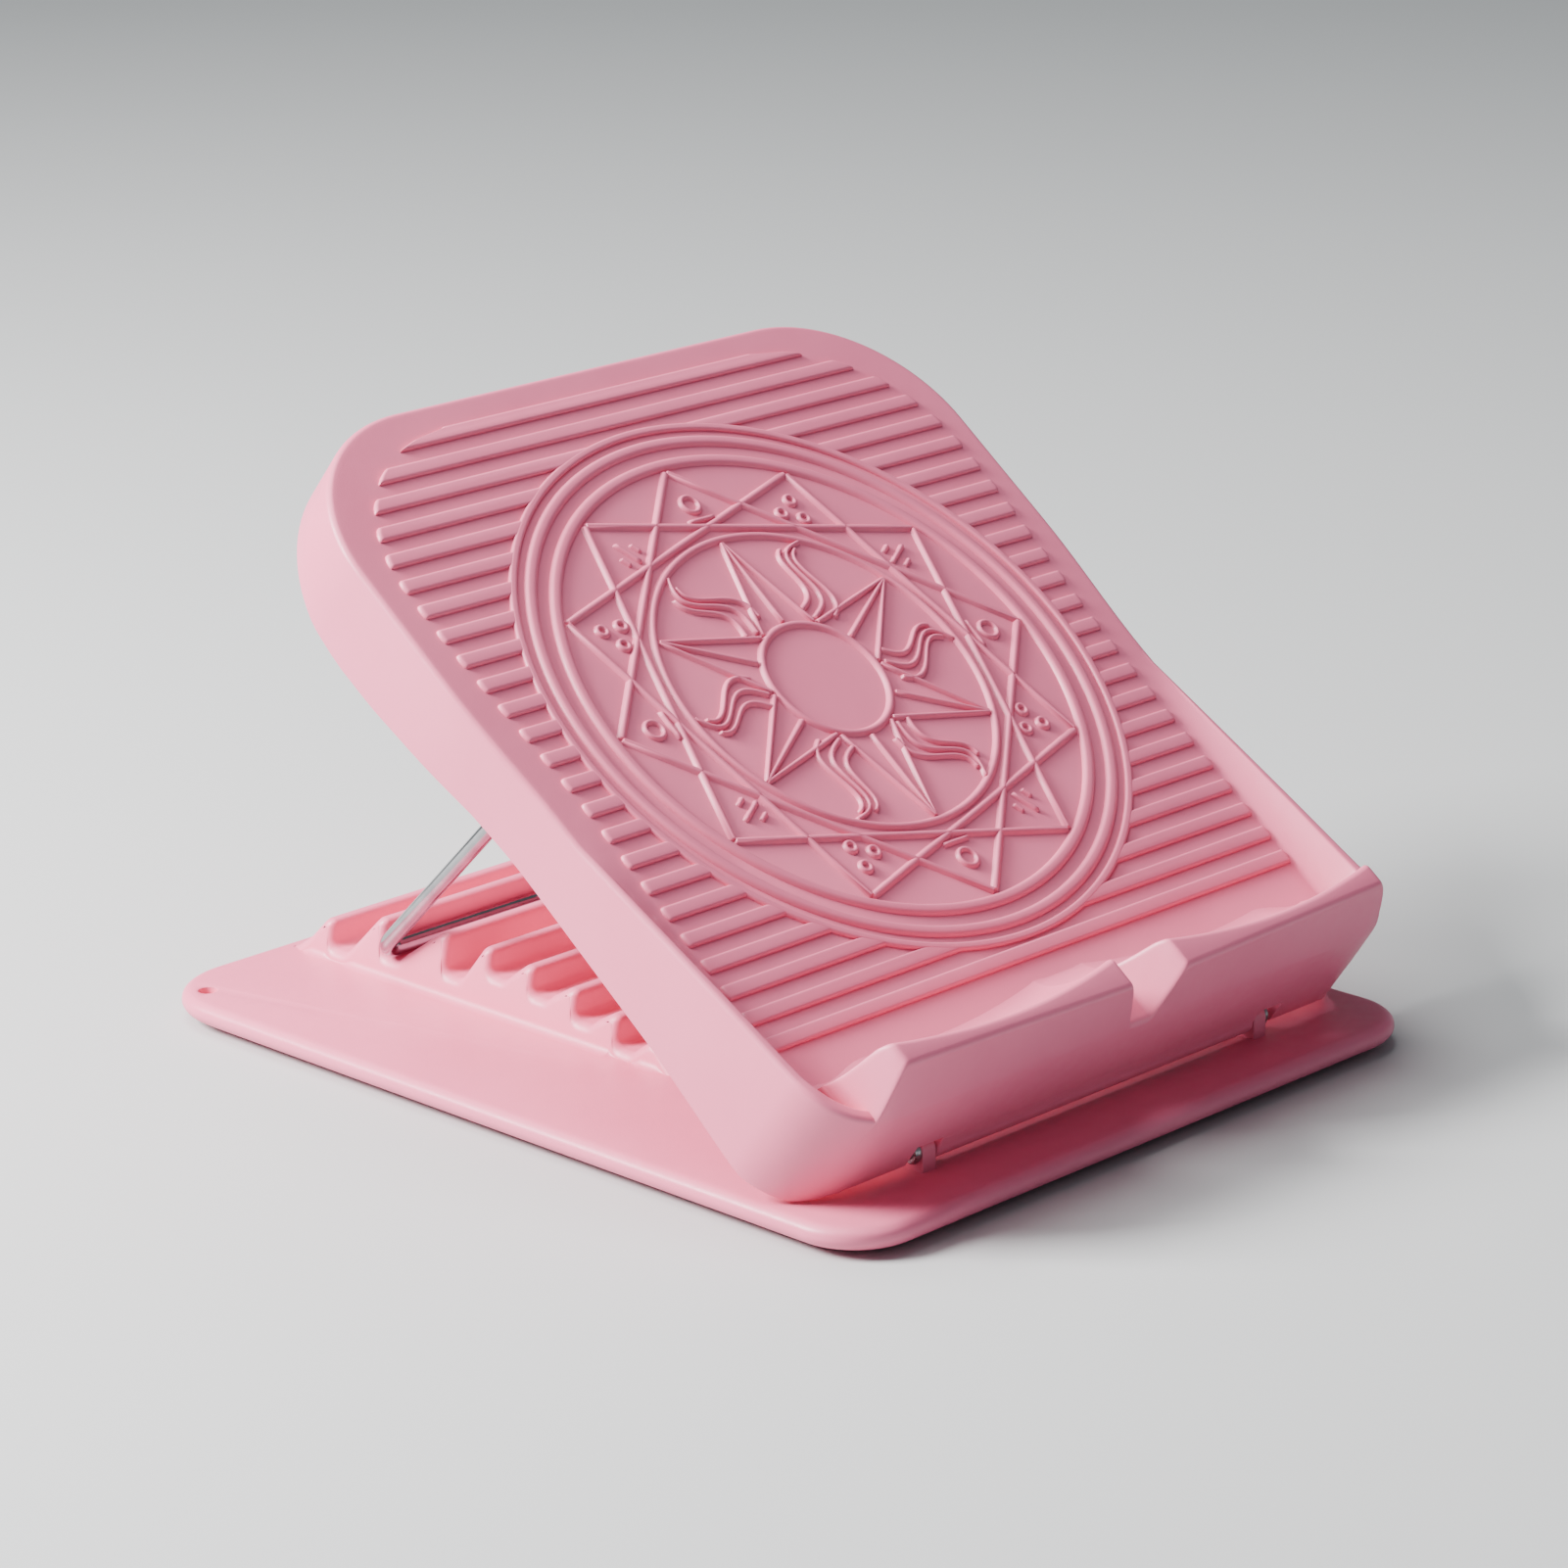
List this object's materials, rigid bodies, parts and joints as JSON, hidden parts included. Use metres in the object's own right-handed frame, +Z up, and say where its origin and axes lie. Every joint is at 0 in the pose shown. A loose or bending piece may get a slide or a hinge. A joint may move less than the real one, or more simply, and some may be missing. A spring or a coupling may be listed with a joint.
{
  "type": "slant board",
  "caption": "Folding slant board for calf stretching: ribbed foot deck with a heel stop, hinged to a toothed base and held up by a steel bail.",
  "frame": {"origin": "centre of the object's footprint, on the surface that the feet rest on", "axes": "+Z up, +Y from the hinge towards the rear of the base, +X along the hinge"},
  "size_m": [0.2966, 0.3544, 0.2241],
  "materials": {
    "pink_plastic": "moulded, satin pink",
    "bail_steel": "polished bright steel rod",
    "zinc_steel": "bright zinc plate",
    "clamp_plastic": "moulded, fine grain, pink",
    "foot_rubber": "matt grey rubber"
  },
  "bodies": {
    "base": {"base_plate": "pink_plastic", "foot_left_1": "foot_rubber", "foot_left_2": "foot_rubber", "foot_left_3": "foot_rubber", "foot_left_4": "foot_rubber", "foot_right_1": "foot_rubber", "foot_right_2": "foot_rubber", "foot_right_3": "foot_rubber", "foot_right_4": "foot_rubber", "hinge_rod": "zinc_steel", "hinge_clip_left": "zinc_steel", "hinge_clip_right": "zinc_steel"},
    "board": {"top_plate": "pink_plastic", "bail_clamp_left": "clamp_plastic", "bail_clamp_right": "clamp_plastic", "clamp_screw_left_front": "zinc_steel", "clamp_screw_left_rear": "zinc_steel", "clamp_screw_right_front": "zinc_steel", "clamp_screw_right_rear": "zinc_steel"},
    "bail": {"support_bail": "bail_steel"}
  },
  "joints": [
    {"name": "board_tilt", "type": "hinge", "parent": "base", "child": "board", "pos_m": [0, -0.14606, 0.0178], "axis": [1, 0, 0], "range_deg": [0, 50]},
    {"name": "bail_swing", "type": "hinge", "parent": "board", "child": "bail", "pos_m": [0, -0.00361, 0.14232], "axis": [1, 0, 0], "range_deg": [-58, 0]}
  ],
  "couplings": [
    {"joint": "bail_swing", "follows": "board_tilt", "ratio": -1.15}
  ]
}
